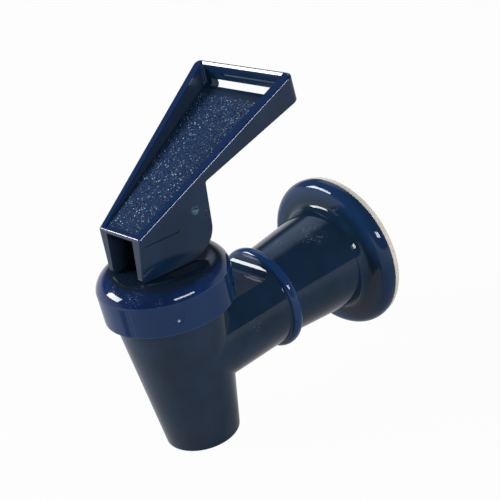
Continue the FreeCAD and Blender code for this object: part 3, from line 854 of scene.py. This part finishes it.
def make_bush():
    """The bush, its outside turned and its bore threaded."""
    mesh = bmesh.new()
    steps = int(insert_length / thread_pitch * thread_steps_a_turn)
    rings = []
    for index in range(steps + 1):
        along = -insert_length * index / steps
        rings.append(add_ring(mesh, along, [thread_radius(angle, along)
                                            for angle in thread_angles]))
    for radius, along in insert_outline():
        rings.append(add_ring(mesh, along, [radius] * thread_sides))
    for first, second in zip(rings, rings[1:] + rings[:1]):
        for side in range(thread_sides):
            after = (side + 1) % thread_sides
            mesh.faces.new((first[side], first[after], second[after], second[side]))
    bmesh.ops.recalc_face_normals(mesh, faces=mesh.faces)
    bush = bpy.data.objects.new("threaded_bush", bpy.data.meshes.new("threaded_bush"))
    mesh.to_mesh(bush.data)
    mesh.free()
    bpy.context.scene.collection.objects.link(bush)
    return bush


def turned_metal(name, bright, dull, roughness, lines):
    """Turned or drawn metal with fine tool lines along one direction and dull patches."""
    material, tree, shader, place = start_material(name)
    patches = band(tree, noise(tree, place, metal_patch_scale, 4.0), 0.4, 0.75)
    tree.links.new(blend_colours(tree, patches, bright, dull), shader.inputs["Base Color"])
    tree.links.new(band(tree, patches, 0.0, 1.0, roughness, roughness + metal_roughness_gain),
                   shader.inputs["Roughness"])
    add_bump(tree, shader, noise(tree, place, metal_line_scale, 2.0, lines), strength=0.25,
             depth=0.00004)
    shader.inputs["Metallic"].default_value = 1.0
    return material


thread_bush = make_bush()
thread_bush.data.materials.append(turned_metal("turned_brass", brass_bright, brass_dull,
                                               roughness=0.2, lines=(0.05, 1, 0.05)))
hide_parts("thread_insert")
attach(thread_bush, "body")


# Nipple washer, seat cup and slip ring. The washer is punched from black rubber, the cup is
# moulded in milky silicone, and the ring is a stamped white acetal hoop. The cup's rim is held
# in the body and its plug hangs on the stem, so its wall grows shorter when the stem lifts.
rubber_black = (0.012, 0.012, 0.013)
rubber_bloom = (0.055, 0.055, 0.055)
silicone_clear = (0.50, 0.52, 0.50)
silicone_milky = (0.72, 0.73, 0.70)
acetal_white = (0.78, 0.78, 0.75)
acetal_shade = (0.62, 0.62, 0.58)
moulded_roughness_gain = 0.15


def moulded(name, first, second, roughness, scale, depth):
    """Plain moulded or punched finish: two near colours, uneven gloss and fine relief."""
    material, tree, shader, place = start_material(name)
    cloud = band(tree, noise(tree, place, scale, 4.0), 0.38, 0.68)
    tree.links.new(blend_colours(tree, cloud, first, second), shader.inputs["Base Color"])
    tree.links.new(band(tree, noise(tree, place, scale * 3, 3.0), 0.3, 0.7, roughness,
                        roughness + moulded_roughness_gain), shader.inputs["Roughness"])
    add_bump(tree, shader, noise(tree, place, scale * 8, 3.0), strength=0.4, depth=depth)
    return material


def yielding_copy(node_name, piece_name, material):
    """Stand a piece of the same form for a solid, so that it can give way at a joint."""
    piece = bpy.data.objects.new(piece_name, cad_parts[node_name].data.copy())
    bpy.context.scene.collection.objects.link(piece)
    piece.data.materials.clear()
    piece.data.materials.append(material)
    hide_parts(node_name)
    return piece


dress("nipple_washer", moulded("black_rubber", rubber_black, rubber_bloom, roughness=0.6,
                               scale=350, depth=0.00005))
silicone_cup = yielding_copy("seat_cup", "silicone_cup",
                             moulded("milky_silicone", silicone_clear, silicone_milky,
                                     roughness=0.35, scale=200, depth=0.00002))
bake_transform(silicone_cup)
dress("slip_ring", moulded("white_acetal", acetal_white, acetal_shade, roughness=0.3, scale=260,
                           depth=0.00002))


# Valve stem. A rod and head moulded in black acetal. The head fills the dark window between
# the lever's plates, and the barb below holds the seat cup.
stem_black = (0.006, 0.006, 0.007)
stem_worn = (0.020, 0.021, 0.023)
dress("valve_stem", moulded("black_acetal", stem_black, stem_worn, roughness=0.35, scale=420,
                            depth=0.00003))


# Pin, spring and washer, in stainless steel: the pin is ground, the spring is drawn wire and
# the washer is stamped, so each has its own lines and gloss. The spring's top bears on the
# bonnet, and its coils close up when the stem lifts the washer under it.
steel_bright = (0.62, 0.62, 0.60)
steel_dull = (0.36, 0.35, 0.33)
steel_pieces = {"pivot_pin": (0.14, (0.05, 1, 1)), "spring_washer": (0.28, (1, 0.1, 1))}
for steel_piece, (steel_roughness, steel_lines) in steel_pieces.items():
    dress(steel_piece, turned_metal(steel_piece + "_steel", steel_bright, steel_dull,
                                    steel_roughness, steel_lines))
drawn_spring = yielding_copy("return_spring", "drawn_spring",
                             turned_metal("drawn_wire", steel_bright, steel_dull,
                                          roughness=0.22, lines=(1, 1, 0.3)))
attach(drawn_spring, "body")
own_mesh(drawn_spring)
